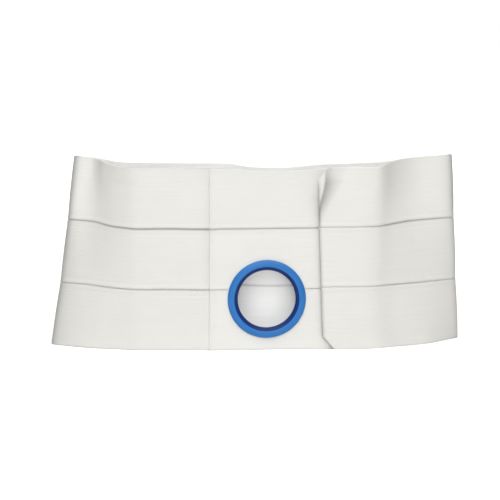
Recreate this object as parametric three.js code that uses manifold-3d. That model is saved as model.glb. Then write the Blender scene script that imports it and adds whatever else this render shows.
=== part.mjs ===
// An ostomy support belt: a wide elastic loop that stands on its lower edge, closed by a flap in front,
// with a moulded ring round the opening for the pouch.
// Millimetres, +Z up. The front faces -Y, and the origin is the middle of the footprint.

import * as THREE from 'three';
import { mergeVertices } from 'three/addons/utils/BufferGeometryUtils.js';
import Module from 'manifold-3d';

// Cloth
const BELT_HEIGHT = 228.6;
const STRIP_COUNT = 3;
const CLOTH_THICKNESS = 2.2;
const FIT_GAP = 0.3;
const SEAM_GAP = 0.4;
const EDGE_ROLL = 1.2;
const SEAM_EDGE_THICKNESS = 0.9;
const RIM_EDGE_THICKNESS = 1.6;

// Front panel: a flat stretch that leans back, and turns a little to the right
const JOINT_X = -54;
const PANEL_END_X = 146;
const FRONT_LEAN = 20;
const FRONT_RISE = 228;
const FRONT_SLOPE = 0.065;
const PANEL_COLUMNS = 12;
const TOP_DIP = 4.5;
const TOP_DIP_START_X = -70;
const TOP_DIP_END_X = 130;

// Closure
const PATCH_THICKNESS = 1.2;
const PATCH_WIDTH = 50;
const PATCH_HEIGHT = 200;
const PATCH_X = 117;
const FLAP_OFFSET = CLOTH_THICKNESS + PATCH_THICKNESS + 2 * FIT_GAP;
const FLAP_RISE = 228.5;
const FLAP_CORNER_WIDTH = 12.8;
const FLAP_CORNER_HEIGHT = 15.6;
const CURL_LIFT = 7;
const CURL_START = 0.68;
const CURL_CREASE = 9;
const CURL_REACH = 9;

// Pouch ring: radii from its axis, depths from the middle of the cloth
const RING_X = 15.9;
const RING_HEIGHT = 64;
const RING_SEGMENTS = 56;
const RING_BORE = 36.3;
const RING_COLLAR = 40;
const RING_HOLE = 40.4;
const RING_SEAT = CLOTH_THICKNESS / 2 + FIT_GAP;
const RING_FRONT_FACE = 4.6;
const RING_BACK_FACE = -3.2;
const RING_SECTION = [
  { at: 'back_inner_edge', radius: RING_BORE, depth: RING_BACK_FACE },
  { at: 'back_face', radius: 44.9, depth: RING_BACK_FACE },
  { at: 'back_outer_edge', radius: 45.5, depth: -2.7 },
  { at: 'back_seat', radius: 45.5, depth: -RING_SEAT },
  { at: 'collar_back', radius: RING_COLLAR, depth: -RING_SEAT },
  { at: 'collar_front', radius: RING_COLLAR, depth: RING_SEAT },
  { at: 'front_seat', radius: 49.2, depth: RING_SEAT },
  { at: 'flange_edge', radius: 48.7, depth: 2.9 },
  { at: 'flange_crown', radius: 47.2, depth: 4 },
  { at: 'land_outer', radius: 45, depth: RING_FRONT_FACE },
  { at: 'land_inner', radius: 41.8, depth: RING_FRONT_FACE },
  { at: 'throat_top', radius: 40.4, depth: 4 },
  { at: 'throat', radius: 37.6, depth: 2.6 },
  { at: 'bore_front', radius: RING_BORE, depth: 1.2 },
];

// Corners of the loop in plan, from the joint in front, to the left, along the back and round to the flap.
// low is the lower edge, top the upper one, R the radius of the bend, and belly the bulge at half height,
// less than zero where it is towards the front.
const CORNERS = [
  { at: 'joint', lowX: -54, lowY: 0, lowR: 0, topX: -54, topY: 20, topR: 0, topZ: 227.7, belly: 0 },
  { at: 'left_shoulder', lowX: -150, lowY: 1, lowR: 260, topX: -168, topY: 20, topR: 22, topZ: 228.5, belly: 0 },
  { at: 'left_flare', lowX: -215, lowY: 14, lowR: 150, topX: -203, topY: 84, topR: 14, topZ: 230.5, belly: -4 },
  { at: 'left_fold_front', lowX: -251, lowY: 31, lowR: 4.5, topX: -227, topY: 91, topR: 2.8, topZ: 231, belly: -6 },
  { at: 'left_fold_back', lowX: -251, lowY: 41, lowR: 4.5, topX: -227, topY: 97, topR: 2.8, topZ: 231, belly: -6 },
  { at: 'left_bend', lowX: -210, lowY: 54, lowR: 60, topX: -200, topY: 91, topR: 16, topZ: 230, belly: -4 },
  { at: 'left_back', lowX: -150, lowY: 54, lowR: 120, topX: -166, topY: 66, topR: 30, topZ: 227.5, belly: 0 },
  { at: 'back_left', lowX: -80, lowY: 50, lowR: 200, topX: -45, topY: 66, topR: 100, topZ: 227, belly: 0 },
  { at: 'back_pinch', lowX: 20, lowY: 26, lowR: 150, topX: 20, topY: 42, topR: 100, topZ: 224.5, belly: 0 },
  { at: 'back_right', lowX: 100, lowY: 48, lowR: 150, topX: 95, topY: 64, topR: 100, topZ: 226.5, belly: 0 },
  { at: 'right_back', lowX: 165, lowY: 70, lowR: 80, topX: 160, topY: 70, topR: 30, topZ: 227.5, belly: -4 },
  { at: 'right_bend', lowX: 215, lowY: 79, lowR: 60, topX: 197, topY: 90.5, topR: 20, topZ: 230, belly: -7 },
  { at: 'right_fold_back', lowX: 259, lowY: 76, lowR: 4.5, topX: 252, topY: 109, topR: 2.8, topZ: 231, belly: -12 },
  { at: 'right_fold_front', lowX: 259, lowY: 66, lowR: 4.5, topX: 252, topY: 103, topR: 2.8, topZ: 231, belly: -12 },
  { at: 'right_flare', lowX: 221, lowY: 34, lowR: 50, topX: 191, topY: 82, topR: 25, topZ: 230.5, belly: -3 },
  onFlap('right_shoulder', { lowX: 148, lowR: 60, topX: 157, topR: 14 }),
  onFlap('flap_bend', { lowX: 112, lowR: 0, topX: 112, topR: 0 }),
  onFlap('flap_end', { lowX: 85, lowR: 0, topX: 80, topR: 0 }),
];
const ARC_STEPS = 4;
const STRAIGHT_STEPS = 2;
const CURL_STEPS = 7;
const FULLEST_BEND = 0.48;

const wasm = await Module();
wasm.setup();

// Depth of the front plane at a place along the belt and a share of its height.
function frontDepth(x, share) {
  return FRONT_SLOPE * (x - JOINT_X) + FRONT_LEAN * share;
}

// A corner that lies on the flap, which runs in front of the panel and parallel to it.
function onFlap(at, { lowX, lowR, topX, topR }) {
  const lowY = frontDepth(lowX, 0) - FLAP_OFFSET;
  const topY = frontDepth(topX, 1) - FLAP_OFFSET;
  return { at, lowX, lowY, lowR, topX, topY, topR, topZ: FLAP_RISE, belly: 0 };
}

const frontAlong = new THREE.Vector3(-1, -FRONT_SLOPE, 0).normalize();
const frontUp = new THREE.Vector3(0, FRONT_LEAN, FRONT_RISE).normalize();
const frontOut = new THREE.Vector3().crossVectors(frontUp, frontAlong).normalize();

// How far the flap's end is cut back at its lower and upper corners.
function cornerCut(share) {
  const fromEnd = Math.min(share, 1 - share) * BELT_HEIGHT;
  return FLAP_CORNER_WIDTH * Math.max(0, 1 - fromEnd / FLAP_CORNER_HEIGHT);
}

// One corner at a share of the height.
function cornerAt(corner, share) {
  const bulge = corner.belly * 4 * share * (1 - share);
  const cut = corner.at === 'flap_end' ? cornerCut(share) : 0;
  const x = THREE.MathUtils.lerp(corner.lowX, corner.topX, share) + cut;
  const y = THREE.MathUtils.lerp(corner.lowY, corner.topY, share) + bulge + cut * FRONT_SLOPE;
  const radius = THREE.MathUtils.lerp(corner.lowR, corner.topR, share);
  return { point: new THREE.Vector3(x, y, corner.topZ * share), radius };
}

// The arc that rounds a corner, no larger than its neighbours leave room for.
function bendAt(corners, index) {
  const { point, radius } = corners[index];
  if (radius === 0) {
    return [point];
  }
  const flat = (vector) => new THREE.Vector3(vector.x, vector.y, 0);
  const before = flat(corners[index - 1].point).sub(flat(point));
  const after = flat(corners[index + 1].point).sub(flat(point));
  const half = before.angleTo(after) / 2;
  const room = FULLEST_BEND * Math.min(before.length(), after.length());
  const reach = Math.min(radius / Math.tan(half), room);
  const bend = reach * Math.tan(half);
  before.normalize();
  after.normalize();
  const centre = before.clone().add(after).normalize().multiplyScalar(bend / Math.sin(half)).add(point);
  const start = before.multiplyScalar(reach).add(point).sub(centre);
  const end = after.multiplyScalar(reach).add(point).sub(centre);
  const turn = Math.sign(start.x * end.y - start.y * end.x) * start.angleTo(end);
  const axis = new THREE.Vector3(0, 0, 1);
  const steps = Array.from({ length: ARC_STEPS + 1 }, (unused, step) => step / ARC_STEPS);
  return steps.map((part) => start.clone().applyAxisAngle(axis, turn * part).add(centre));
}

// Lift of the flap's upper corner, which curls away from the panel along a slanting crease.
function curlLift(fromEdge, share) {
  const height = Math.max(0, (share - CURL_START) / (1 - CURL_START));
  const near = CURL_CREASE * height - CURL_REACH;
  const far = CURL_CREASE * height + CURL_REACH;
  return CURL_LIFT * height * (1 - THREE.MathUtils.smoothstep(fromEdge, near, far));
}

// The middle of the elastic's wall at a share of the height, as points from the joint to the flap's end.
function elasticLevel(share) {
  const corners = CORNERS.map((corner) => cornerAt(corner, share));
  const bends = corners.map((corner, index) => bendAt(corners, index));
  const points = [];
  bends.forEach((bend, index) => {
    points.push(...bend);
    if (index === bends.length - 1) {
      return;
    }
    const steps = index === bends.length - 2 ? CURL_STEPS : STRAIGHT_STEPS;
    for (let step = 1; step < steps; step += 1) {
      points.push(new THREE.Vector3().lerpVectors(bend.at(-1), bends[index + 1][0], step / steps));
    }
  });
  const edge = points.at(-1).x - cornerCut(share);
  const curled = points.slice(-CURL_STEPS - 1);
  curled.forEach((point) => point.addScaledVector(frontOut, curlLift(point.x - edge, share)));
  return points;
}

// The middle of the panel's wall at a share of the height, as points from its hidden end to the joint.
function panelLevel(share) {
  const topShare = Math.max(0, share * STRIP_COUNT - STRIP_COUNT + 1);
  const points = [];
  for (let column = 0; column <= PANEL_COLUMNS; column += 1) {
    const x = THREE.MathUtils.lerp(PANEL_END_X, JOINT_X + SEAM_GAP, column / PANEL_COLUMNS);
    const inDip = THREE.MathUtils.clamp((x - TOP_DIP_START_X) / (TOP_DIP_END_X - TOP_DIP_START_X), 0, 1);
    const dip = TOP_DIP * Math.sin(Math.PI * inDip) ** 2 * topShare;
    const height = share - dip / BELT_HEIGHT;
    points.push(new THREE.Vector3(x, frontDepth(x, height), FRONT_RISE * height));
  }
  return points;
}

// Levels of one strip with the wall's thickness at each, thinner along its rolled edges.
function stripLevels(index, extraHeights) {
  const roll = EDGE_ROLL / BELT_HEIGHT;
  const isLowest = index === 0;
  const isHighest = index === STRIP_COUNT - 1;
  const low = index / STRIP_COUNT + (isLowest ? 0 : SEAM_GAP / 2 / BELT_HEIGHT);
  const high = (index + 1) / STRIP_COUNT - (isHighest ? 0 : SEAM_GAP / 2 / BELT_HEIGHT);
  const inner = extraHeights.filter((share) => share > low + roll && share < high - roll);
  return [
    { share: low, thickness: isLowest ? RIM_EDGE_THICKNESS : SEAM_EDGE_THICKNESS },
    ...[low + roll, ...inner, high - roll].map((share) => ({ share, thickness: CLOTH_THICKNESS })),
    { share: high, thickness: isHighest ? RIM_EDGE_THICKNESS : SEAM_EDGE_THICKNESS },
  ];
}

// A closed wall round a middle surface: rows of points from low to high, and the thickness along each row.
// The thickness is laid off level, so that the belt's lower edge is flat where it stands.
function wallGeometry(rows, thicknesses) {
  const columnCount = rows[0].length;
  const lastRow = rows.length - 1;
  const lastColumn = columnCount - 1;
  const outer = [];
  const inner = [];
  rows.forEach((row, level) => {
    row.forEach((point, column) => {
      const along = row[Math.min(column + 1, lastColumn)].clone().sub(row[Math.max(column - 1, 0)]);
      const out = new THREE.Vector3(-along.y, along.x, 0).normalize();
      outer.push(point.clone().addScaledVector(out, thicknesses[level] / 2));
      inner.push(point.clone().addScaledVector(out, -thicknesses[level] / 2));
    });
  });
  const front = (level, column) => level * columnCount + column;
  const back = (level, column) => front(level, column) + outer.length;
  const faces = [];
  const quad = (first, second, third, fourth) => faces.push(first, second, third, first, third, fourth);
  for (let level = 0; level < lastRow; level += 1) {
    const above = level + 1;
    for (let column = 0; column < lastColumn; column += 1) {
      const next = column + 1;
      quad(front(level, column), front(above, column), front(above, next), front(level, next));
      quad(back(level, column), back(level, next), back(above, next), back(above, column));
    }
    quad(front(level, 0), back(level, 0), back(above, 0), front(above, 0));
    quad(front(level, lastColumn), front(above, lastColumn), back(above, lastColumn), back(level, lastColumn));
  }
  for (let column = 0; column < lastColumn; column += 1) {
    const next = column + 1;
    quad(front(0, column), front(0, next), back(0, next), back(0, column));
    quad(front(lastRow, column), back(lastRow, column), back(lastRow, next), front(lastRow, next));
  }
  const geometry = new THREE.BufferGeometry().setFromPoints([...outer, ...inner]);
  geometry.setIndex(faces);
  return geometry;
}

// A closed geometry as a solid that can be cut.
function toSolid(geometry) {
  const bare = geometry.clone();
  bare.deleteAttribute('normal');
  bare.deleteAttribute('uv');
  const merged = mergeVertices(bare);
  const vertProperties = new Float32Array(merged.attributes.position.array);
  const triVerts = new Uint32Array(merged.index.array);
  return new wasm.Manifold(new wasm.Mesh({ numProp: 3, vertProperties, triVerts }));
}

// A cut solid as geometry.
function toGeometry(solid) {
  const { vertProperties, triVerts } = solid.getMesh();
  const geometry = new THREE.BufferGeometry();
  geometry.setAttribute('position', new THREE.BufferAttribute(vertProperties, 3));
  geometry.setIndex(new THREE.BufferAttribute(triVerts, 1));
  return geometry;
}

// Turn and place for a piece whose own Y axis points out of the front panel.
const ringShare = RING_HEIGHT / BELT_HEIGHT;
const ringCentre = new THREE.Vector3(RING_X, frontDepth(RING_X, ringShare), FRONT_RISE * ringShare);
const ringTurn = new THREE.Quaternion().setFromUnitVectors(new THREE.Vector3(0, 1, 0), frontOut);

// The round cut for the ring's collar through the panel.
function ringHoleSolid() {
  const throughLength = 40;
  const cutter = new THREE.CylinderGeometry(RING_HOLE, RING_HOLE, throughLength, RING_SEGMENTS);
  cutter.applyQuaternion(ringTurn);
  cutter.translate(ringCentre.x, ringCentre.y, ringCentre.z);
  return toSolid(cutter);
}

// The ring, turned about its own Y axis.
function ringGeometry() {
  const section = RING_SECTION.map(({ radius, depth }) => new THREE.Vector2(radius, depth));
  return new THREE.LatheGeometry([...section, section[0]], RING_SEGMENTS);
}

function named(name, geometry, { color, roughness }) {
  const mesh = new THREE.Mesh(geometry, new THREE.MeshStandardMaterial({ color, roughness, metalness: 0 }));
  mesh.name = name;
  return mesh;
}

const ELASTIC = { color: 0xe9e8e2, roughness: 0.9 };
const RING_PLASTIC = { color: 0x4079bd, roughness: 0.35 };
const HOOK_TAPE = { color: 0xe2e0d8, roughness: 0.85 };
const STRIP_NAMES = ['bottom', 'middle', 'top'];

const belt = new THREE.Group();
const flapCorners = [FLAP_CORNER_HEIGHT / BELT_HEIGHT, 1 - FLAP_CORNER_HEIGHT / BELT_HEIGHT];
const hole = ringHoleSolid();
STRIP_NAMES.forEach((place, index) => {
  const elasticLevels = stripLevels(index, flapCorners);
  const elasticRows = elasticLevels.map(({ share }) => elasticLevel(share));
  const elasticWall = wallGeometry(elasticRows, elasticLevels.map(({ thickness }) => thickness));
  belt.add(named(`elastic_${place}_strip`, elasticWall, ELASTIC));

  const panelLevels = stripLevels(index, []);
  const panelRows = panelLevels.map(({ share }) => panelLevel(share));
  const panelWall = wallGeometry(panelRows, panelLevels.map(({ thickness }) => thickness));
  const panelSolid = toSolid(panelWall).subtract(hole);
  belt.add(named(`panel_${place}_strip`, toGeometry(panelSolid), ELASTIC));
});

const ring = named('pouch_ring', ringGeometry(), RING_PLASTIC);
ring.position.copy(ringCentre);
ring.quaternion.copy(ringTurn);
belt.add(ring);

const patchGeometry = new THREE.BoxGeometry(PATCH_WIDTH, PATCH_HEIGHT, PATCH_THICKNESS);
const patch = named('hook_patch', patchGeometry, HOOK_TAPE);
const patchDepth = CLOTH_THICKNESS / 2 + FIT_GAP + PATCH_THICKNESS / 2;
patch.position.set(PATCH_X, frontDepth(PATCH_X, 0.5), FRONT_RISE / 2).addScaledVector(frontOut, patchDepth);
patch.setRotationFromMatrix(new THREE.Matrix4().makeBasis(frontAlong.clone().negate(), frontUp, frontOut));
belt.add(patch);

// Stand the belt with the middle of its footprint on the origin.
const footprint = new THREE.Box3().setFromObject(belt, true);
const middle = footprint.getCenter(new THREE.Vector3());
belt.position.set(-middle.x, -middle.y, -footprint.min.z);

export default belt;
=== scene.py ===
"""The looks of an ostomy support belt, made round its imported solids.

The file is laid out as a Blender add-on and run as a script. Metres, +Z up, and the belt's front faces -Y.
"""

import math
from collections import namedtuple
from types import SimpleNamespace

import bpy
import numpy as np
from bpy.props import FloatProperty, FloatVectorProperty, IntProperty, PointerProperty
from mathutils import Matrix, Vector


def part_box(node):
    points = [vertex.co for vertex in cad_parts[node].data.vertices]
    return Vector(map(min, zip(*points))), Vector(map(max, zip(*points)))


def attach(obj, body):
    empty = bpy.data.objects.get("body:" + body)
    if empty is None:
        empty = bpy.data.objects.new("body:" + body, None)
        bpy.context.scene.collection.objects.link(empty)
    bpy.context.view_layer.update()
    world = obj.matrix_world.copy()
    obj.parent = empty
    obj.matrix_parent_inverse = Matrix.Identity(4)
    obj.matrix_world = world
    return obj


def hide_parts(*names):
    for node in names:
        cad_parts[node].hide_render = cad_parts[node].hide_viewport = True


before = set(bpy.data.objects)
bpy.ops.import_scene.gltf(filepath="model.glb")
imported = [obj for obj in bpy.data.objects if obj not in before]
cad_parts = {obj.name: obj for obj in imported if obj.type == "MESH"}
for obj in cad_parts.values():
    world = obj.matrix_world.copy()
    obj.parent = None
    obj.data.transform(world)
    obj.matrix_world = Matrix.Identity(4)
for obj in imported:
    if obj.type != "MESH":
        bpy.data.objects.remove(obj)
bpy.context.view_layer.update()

bl_info = {
    "name": "Ostomy support belt",
    "version": (1, 0, 0),
    "blender": (4, 5, 0),
    "location": "3D View > Sidebar > Belt",
    "description": "Builds the cloth, seams, ring and closure of an ostomy support belt",
    "category": "Add Mesh",
}

MM = 0.001
TURN = 2 * math.pi
BODY = "root"

# Cloth
BELT_HEIGHT = 228.6 * MM
STRIP_COUNT = 3
STRIP_NAMES = ("bottom", "middle", "top")
STRIP_HEIGHT = BELT_HEIGHT / STRIP_COUNT
SEAM_GAP = 0.16 * MM
STRIP_WIDTH = STRIP_HEIGHT - SEAM_GAP
CLOTH_THICKNESS = 2.2 * MM
HALF_CLOTH = CLOTH_THICKNESS / 2
FIT_GAP = 0.3 * MM
EDGE_ROLL = 1.0 * MM
EDGE_ROLL_STEPS = 5
EDGE_ROLL_ROOM = 1.4 * EDGE_ROLL
ROWS_PER_RIB = 4
COLUMN_LENGTH = 2.9 * MM
FOLD_COLUMN_LENGTH = 1.3 * MM
CURL_COLUMN_LENGTH = 0.9 * MM
LEAST_BEND_STEPS = 4
LEAST_SPAN_STEPS = 2
END_ROUNDING = (0.08 * MM, 0.25 * MM, 0.5 * MM, 0.8 * MM)
STILL_COLUMNS = len(END_ROUNDING) + 2
FULLEST_BEND = 0.48
RELAX_PASSES = 14
RELAX_EASE = 0.5
RELAX_SHARP_EASE = 0.06
SHARP_CORNERS = (
    "left_flare",
    "left_fold_front",
    "left_fold_back",
    "right_fold_back",
    "right_fold_front",
    "right_shoulder",
)

# Front panel: a flat stretch that leans back and faces a little to the right
JOINT_X = -54 * MM
PANEL_END_X = 146 * MM
FRONT_LEAN = 20 * MM
FRONT_RISE = 228 * MM
FRONT_SLOPE = 0.065
TOP_DIP = 4.5 * MM
TOP_DIP_X = (-70 * MM, 130 * MM)
PANEL_CROWN_PART = 0.6
UNDER_FLAP_X = (60 * MM, 80 * MM)
HEM_WIDTH = 6.5 * MM
HEM_FLAT_WIDTH = 0.5 * HEM_WIDTH
HEM_LAP = 1.6 * MM
HEM_LIFT = 1.0 * MM
HEM_THICKNESS_PART = 0.75
TUCK_WIDTH = 3 * MM
TUCK_DEPTH = 0.75 * MM
TUCK_THICKNESS_PART = 0.5

# Closure
PATCH_THICKNESS = 1.2 * MM
PATCH_WIDTH = 50 * MM
PATCH_HEIGHT = 200 * MM
PATCH_X = 117 * MM
PATCH_ROUNDING = (0.0, 0.1 * MM, 0.3 * MM, 0.6 * MM)
PATCH_INSET = 2 * MM
PATCH_STEP_ACROSS = 4 * MM
PATCH_STEP_UP = 5 * MM
FLAP_OFFSET = CLOTH_THICKNESS + PATCH_THICKNESS + 2 * FIT_GAP
FLAP_LIFT = 2.4 * MM
FLAP_RISE = 228.5 * MM
FLAP_CORNER_WIDTH = 14 * MM
FLAP_CORNER_HEIGHT = 15.6 * MM
FLAP_LENGTH = 85 * MM
CURL_LIFT = 9 * MM
CURL_START = 0.67
CURL_RISE = 0.7
CURL_CREASE = 8.8 * MM
CURL_CREASE_SPAN = (0.2, 0.85)
CURL_REACH = 13 * MM
CURL_LEAST_REACH = 0.35
CURL_SOFTNESS = 1.3 * MM
# Painted shade in the curled corner's crease, on the side turned from the light: its depth, how it grows and
# fades up the corner, and how far it reaches past the crease
CURL_TONE = 0.82
CURL_TONE_SPAN = (0.0, 0.45)
CURL_TONE_FADE = 0.6
CURL_TONE_FADE_SPAN = (0.7, 0.95)
CURL_TONE_REACH = 30 * MM
CURL_TONE_GROWTH = 0.8

# Pouch ring: radii from its axis, depths from the middle of the cloth, and the rounding of each edge
RING_X = 15.9 * MM
RING_HEIGHT = 64 * MM
RING_HOLE = 40.4 * MM
RING_CLEARANCE = (1.25 * RING_HOLE, 2 * RING_HOLE)
RING_SEGMENTS = 176
RING_EDGE_STEPS = 6
CUTTER_REACH = 20 * MM
RingEdge = namedtuple("RingEdge", "at radius depth rounding")


def ring_edge(at, *sizes_mm):
    """An edge of the ring's section from its sizes in millimetres."""
    return RingEdge(at, *(size * MM for size in sizes_mm))


RING_SECTION = (
    ring_edge("back_inner_edge", 36.3, -3.2, 0.6),
    ring_edge("back_outer_edge", 45.5, -3.2, 0.8),
    ring_edge("back_seat", 45.5, -1.4, 0.2),
    ring_edge("collar_back", 40, -1.4, 0.2),
    ring_edge("collar_front", 40, 1.4, 0.2),
    ring_edge("front_seat", 49.2, 1.4, 0.3),
    ring_edge("flange_edge", 48.9, 2.9, 1.6),
    ring_edge("flange_crown", 46.2, 4.5, 5.0),
    ring_edge("land_inner", 41.6, 4.7, 2.0),
    ring_edge("throat", 37.8, 2.6, 3.0),
    ring_edge("bore_front", 36.3, 1.0, 1.2),
)
MOUTH_EDGES = 3
# The throat's painted shade starts at this radius, blurred over this width
THROAT_RADIUS = 40.7 * MM
THROAT_BLUR = 0.35 * MM

# Corners of the loop in plan, from the joint in front, to the left, along the back and round to the flap.
# low is the lower edge, top the upper one, r the radius of the bend, and belly how far the cloth bulges at
# half height, in y less than zero where that is towards the front. lift is how much higher the lower seam
# rides, half as much for the upper one and nothing at the edges. The two shapes scale their curves to that.
# The rows are in millimetres.
Corner = namedtuple("Corner", "at low_x low_y low_r top_x top_y top_r top_z belly_x belly_y lift")
BELLY_SHAPE = 4
LIFT_SHAPE = 6.75


def corner(at, *sizes_mm):
    """A corner of the loop from its sizes in millimetres, with seams at their own heights."""
    return Corner(at, *(size * MM for size in sizes_mm), 0)


def front_depth(x, share):
    """Depth of the front plane at a place along the belt and a share of its height."""
    return FRONT_SLOPE * (x - JOINT_X) + FRONT_LEAN * share


def on_flap(at, low_x, low_r, top_x, top_r):
    """A corner that lies on the flap, which runs in front of the panel and parallel to it."""
    low_y = front_depth(low_x * MM, 0) - FLAP_OFFSET
    top_y = front_depth(top_x * MM, 1) - FLAP_OFFSET
    low = (low_x * MM, low_y, low_r * MM)
    top = (top_x * MM, top_y, top_r * MM, FLAP_RISE)
    return Corner(at, *low, *top, 0, 0, FLAP_LIFT)


CORNERS = (
    corner("joint", -54, 0, 0, -54, 20, 0, 227.7, 0, 0),
    corner("left_shoulder", -150, 1, 260, -168, 20, 40, 228.5, 0, 0),
    corner("left_flare", -215, 14, 150, -203, 84, 10, 230.5, 1, -4),
    corner("left_fold_front", -255.2, 31, 4.5, -226.8, 91, 2.8, 231, 2.2, -6),
    corner("left_fold_back", -255.2, 41, 4.5, -226.8, 97, 2.8, 231, 2.2, -6),
    corner("left_bend", -210, 54, 60, -200, 91, 16, 230, 1, -4),
    corner("left_back", -150, 54, 120, -166, 66, 30, 227.5, 0, 0),
    corner("back_left", -80, 50, 200, -45, 66, 100, 227, 0, 0),
    corner("back_pinch", 20, 26, 150, 20, 42, 100, 224.5, 0, 0),
    corner("back_right", 100, 48, 150, 95, 64, 100, 226.5, 0, 0),
    corner("right_back", 165, 70, 80, 160, 70, 30, 227.5, 0, -4),
    corner("right_bend", 215, 79, 60, 197, 90.5, 20, 230, 0, -7),
    corner("right_fold_back", 259, 76, 4.5, 252, 109, 2.8, 231, -1, -12),
    corner("right_fold_front", 259, 66, 4.5, 252, 103, 2.8, 231, -1, -12),
    corner("right_flare", 221, 34, 50, 191, 82, 60, 230.5, 0, -3),
    on_flap("right_shoulder", 148, 60, 157, 10),
    on_flap("flap_bend", 112, 0, 112, 0),
    on_flap("flap_end", 86, 0, 78.5, 0),
)

# Soft folds of the cloth: the place along it, measured from the joint, or back from the flap's end where it
# is less than zero, with the fold's half width, its height, and how much of that it has low and high.
Fold = namedtuple("Fold", "at place width height low_part top_part")
FOLDS = (
    Fold("valley_by_joint", 54 * MM, 20 * MM, -1.8 * MM, 0.5, 1.0),
    Fold("ridge_of_shoulder", 93 * MM, 14 * MM, 2.8 * MM, 0.3, 1.0),
    Fold("back_ridge", 420 * MM, 26 * MM, 1.8 * MM, 1.0, 0.4),
    Fold("back_valley", 560 * MM, 22 * MM, -1.5 * MM, 0.3, 1.0),
    Fold("flap_ridge", -44 * MM, 15 * MM, 1.1 * MM, 0.5, 1.0),
)

# Shallow waves along the cloth, each drawn at random as parts of the sizes below
Wave = namedtuple("Wave", "length_part slope_part phase height_part")
WAVE_SEED = 7
WAVE_COUNT = 7
WAVE_LENGTHS = (70 * MM, 230 * MM)
WAVE_HEIGHT = 0.3 * MM
WAVE_FADE = 40 * MM
WAVE_FADE_BY_FLAP = (FLAP_LENGTH, FLAP_LENGTH + 3 * WAVE_FADE)

# Gathers and welts beside the seams
PUCKER_LENGTH = 15 * MM
PUCKER_REACH = 6 * MM
PUCKER_BIAS = 0.6
PUCKER_WANDER = 1.6
PUCKER_WANDER_LENGTH = 4.3 * PUCKER_LENGTH
PUCKER_FADE_BY_FLAP = (0.6 * FLAP_LENGTH, FLAP_LENGTH)
PANEL_PUCKER_PART = 0.7
PANEL_PUCKER_BIAS = 0.5
WELT_HEIGHT = 0.22 * MM
WELT_PLACE = 3.2 * MM
WELT_WIDTH = 1.9 * MM
WELT_LINE_DEPTH = 0.14 * MM
WELT_LINE_PLACE = 7.2 * MM
WELT_LINE_WIDTH = 1.1 * MM

# Painted shade at the joint, round the two folds and in the creases in front of them, where the cloth turns
# away from the light: where its middle lies along the cloth from there, less than zero towards the joint, its
# half width, how dark it is low and high on the belt, and the shares of the height that it changes between.
FoldShade = namedtuple("FoldShade", "side place width low_tone top_tone low_share top_share")
FOLD_SHADES = (
    FoldShade("joint", 0, 9 * MM, 0.0, 0.1, 0.3, 0.4),
    FoldShade("left", 0, 6 * MM, 0.6, 0.95, 0.5, 0.8),
    FoldShade("left", 0, 12 * MM, 0.28, 0.15, 0.5, 0.8),
    FoldShade("left", 0, 45 * MM, 0.23, -0.03, 0.5, 0.8),
    FoldShade("left", -47 * MM, 10 * MM, 0.0, 0.28, 0.78, 1.0),
    FoldShade("right", 0, 5.5 * MM, 0.45, 0.8, 0.5, 0.8),
    FoldShade("right", 0, 12 * MM, 0.16, 0.3, 0.5, 0.8),
    FoldShade("right", 0, 80 * MM, 0.21, 0.06, 0.5, 0.8),
    FoldShade("right", 75 * MM, 25 * MM, 0.0, 0.15, 0.7, 0.97),
    FoldShade("right", 107 * MM, 15 * MM, 0.08, 0.25, 0.65, 0.95),
)
# The strips are painted darker towards the bottom: the bottom one most, the top one not at all
STRIP_GREYS = (0.07, 0.035, 0.0)

# Seams between the strips: the painted shade of the groove beside each, and its stitches against the usual
# pitch
Seam = namedtuple("Seam", "name strips_below tone pitch_part")
SEAMS = (
    Seam("lower_seam_stitches", 1, 0.16, 1.4),
    Seam("upper_seam_stitches", 2, 0.5, 1.0),
)
# Painted shade along the seams' grooves and the belt's top and bottom rims: its half width, the rims' depth,
# the panel's share, and how much of it fades on the flap and round the folds, and where
SEAM_TONE_WIDTH = 1.6 * MM
RIM_TONE = 0.2
PANEL_SEAM_PART = 0.6
SEAM_FADE = 0.8
SEAM_FADING_ON_FLAP = (45 * MM, 110 * MM)
SEAM_FADING_AT_FOLD = 0.65
SEAM_FADING_REACH = 80 * MM
# How far the seam thread pales on the panel and on the inside, as the seams' painted shade fades
PANEL_SEAM_FADING = 0.45
INNER_SEAM_FADING = 0.7
# Painted shade beside the flap's edge: its depth, its half width, and the shares of the height over which it
# fades out at the curled corner
FLAP_EDGE_TONE = 0.6
FLAP_EDGE_WIDTH = 2.5 * MM
FLAP_EDGE_FADE = (0.88, 0.96)

# Stitches: the thread's lift off the cloth, where the rows run, and the slanted ones over the flap's edge
STITCH_SEGMENTS = 6
STITCH_RINGS = 5
STITCH_SPREAD = 0.12
SEAM_THREAD_LIFT = 0.12 * MM
SEAM_RING_CLEARANCE = 51 * MM
SEAM_HIDDEN_X = 90 * MM
PATH_ROWS = 140
FLAP_STITCH_SPAN = (0.006, 0.9)
FLAP_STITCH_LIFT = 0.75 * HALF_CLOTH
FLAP_STITCH_INSET = 0.7 * MM
OVERLOCK_PITCH = 1.5 * MM
OVERLOCK_REACH = 1.5 * MM
OVERLOCK_SLANT = math.radians(68)
JOINT_STITCH_SPAN = (0.01, 0.985)
JOINT_STITCH_ROWS = (0.5 * MM, 3.1 * MM)
JOINT_STITCH_LIFT = HALF_CLOTH * HEM_THICKNESS_PART + 0.1 * MM
JOINT_STITCH_PART = 0.36

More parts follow.
